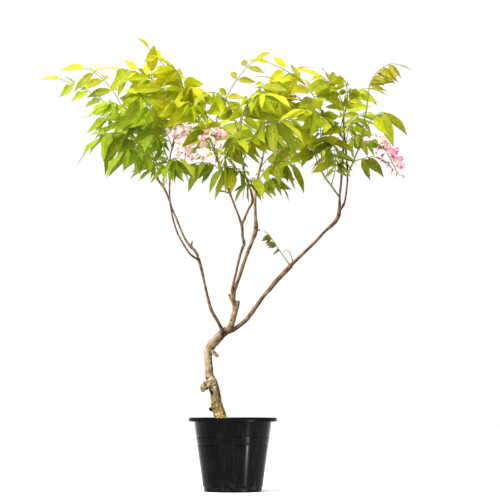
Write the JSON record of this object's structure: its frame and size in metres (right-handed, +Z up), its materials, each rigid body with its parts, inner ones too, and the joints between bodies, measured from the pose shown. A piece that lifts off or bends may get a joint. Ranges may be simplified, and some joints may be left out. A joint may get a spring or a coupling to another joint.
{
  "type": "wisteria bonsai",
  "caption": "Flowering wisteria trained as a small tree: twisted trunk, bare slender limbs, feathery compound leaves and hanging pink racemes, in a round plastic nursery pot.",
  "frame": {"origin": "centre of the pot's flat underside, where it stands", "axes": "+Z up along the pot's axis, -Y towards the viewer of the picture, +X to the viewer's right"},
  "size_m": [0.8692, 0.6127, 1.0502],
  "materials": {
    "pot_plastic": "semi-gloss black moulded plastic",
    "potting_mix": "rough bark and coir potting mix",
    "bark": "rough tan bark with darker cracks",
    "petals": "soft matte translucent petals",
    "leaves": "soft satin translucent leaves"
  },
  "bodies": {
    "root": {"pot": "pot_plastic", "soil": "potting_mix", "trunk_and_branches": "bark", "raceme_left": "petals", "raceme_centre_left": "petals", "raceme_centre": "petals", "raceme_right": "petals", "crown_shoot": "leaves", "far_left_shoot": "leaves", "centre_shoot": "leaves", "twig_shoot": "leaves", "bare_right_shoot": "leaves", "long_right_shoot": "leaves", "leaf_left_upright": "leaves", "leaf_left_low": "leaves", "leaf_left_hanging": "leaves", "leaf_limb_sprout": "leaves", "leaf_left_back": "leaves", "leaf_far_left_back": "leaves", "leaf_left_front": "leaves", "leaf_left_nearest": "leaves", "leaf_left_lit": "leaves", "leaf_left_inner": "leaves", "leaf_left_inner_low": "leaves", "leaf_left_high_back": "leaves", "leaf_left_high": "leaves", "leaf_left_yellow": "leaves", "leaf_centre_left": "leaves", "leaf_centre_left_back": "leaves", "leaf_centre_left_low": "leaves", "leaf_centre_middle": "leaves", "leaf_centre_front": "leaves", "leaf_centre_crossing": "leaves", "leaf_centre_top": "leaves", "leaf_centre_low": "leaves", "leaf_centre_low_right": "leaves", "leaf_centre_pale": "leaves", "leaf_centre_right": "leaves", "leaf_back_top": "leaves", "leaf_back_centre": "leaves", "leaf_back_right": "leaves", "leaf_back_left": "leaves", "leaf_middle_low": "leaves", "leaf_middle_lowest": "leaves", "leaf_middle_high": "leaves", "leaf_right_crest": "leaves", "leaf_right_drooping": "leaves", "leaf_right_dark": "leaves", "leaf_right_front": "leaves", "leaf_right_back": "leaves", "leaf_right_back_low": "leaves", "leaf_right_top": "leaves"}
  },
  "joints": []
}
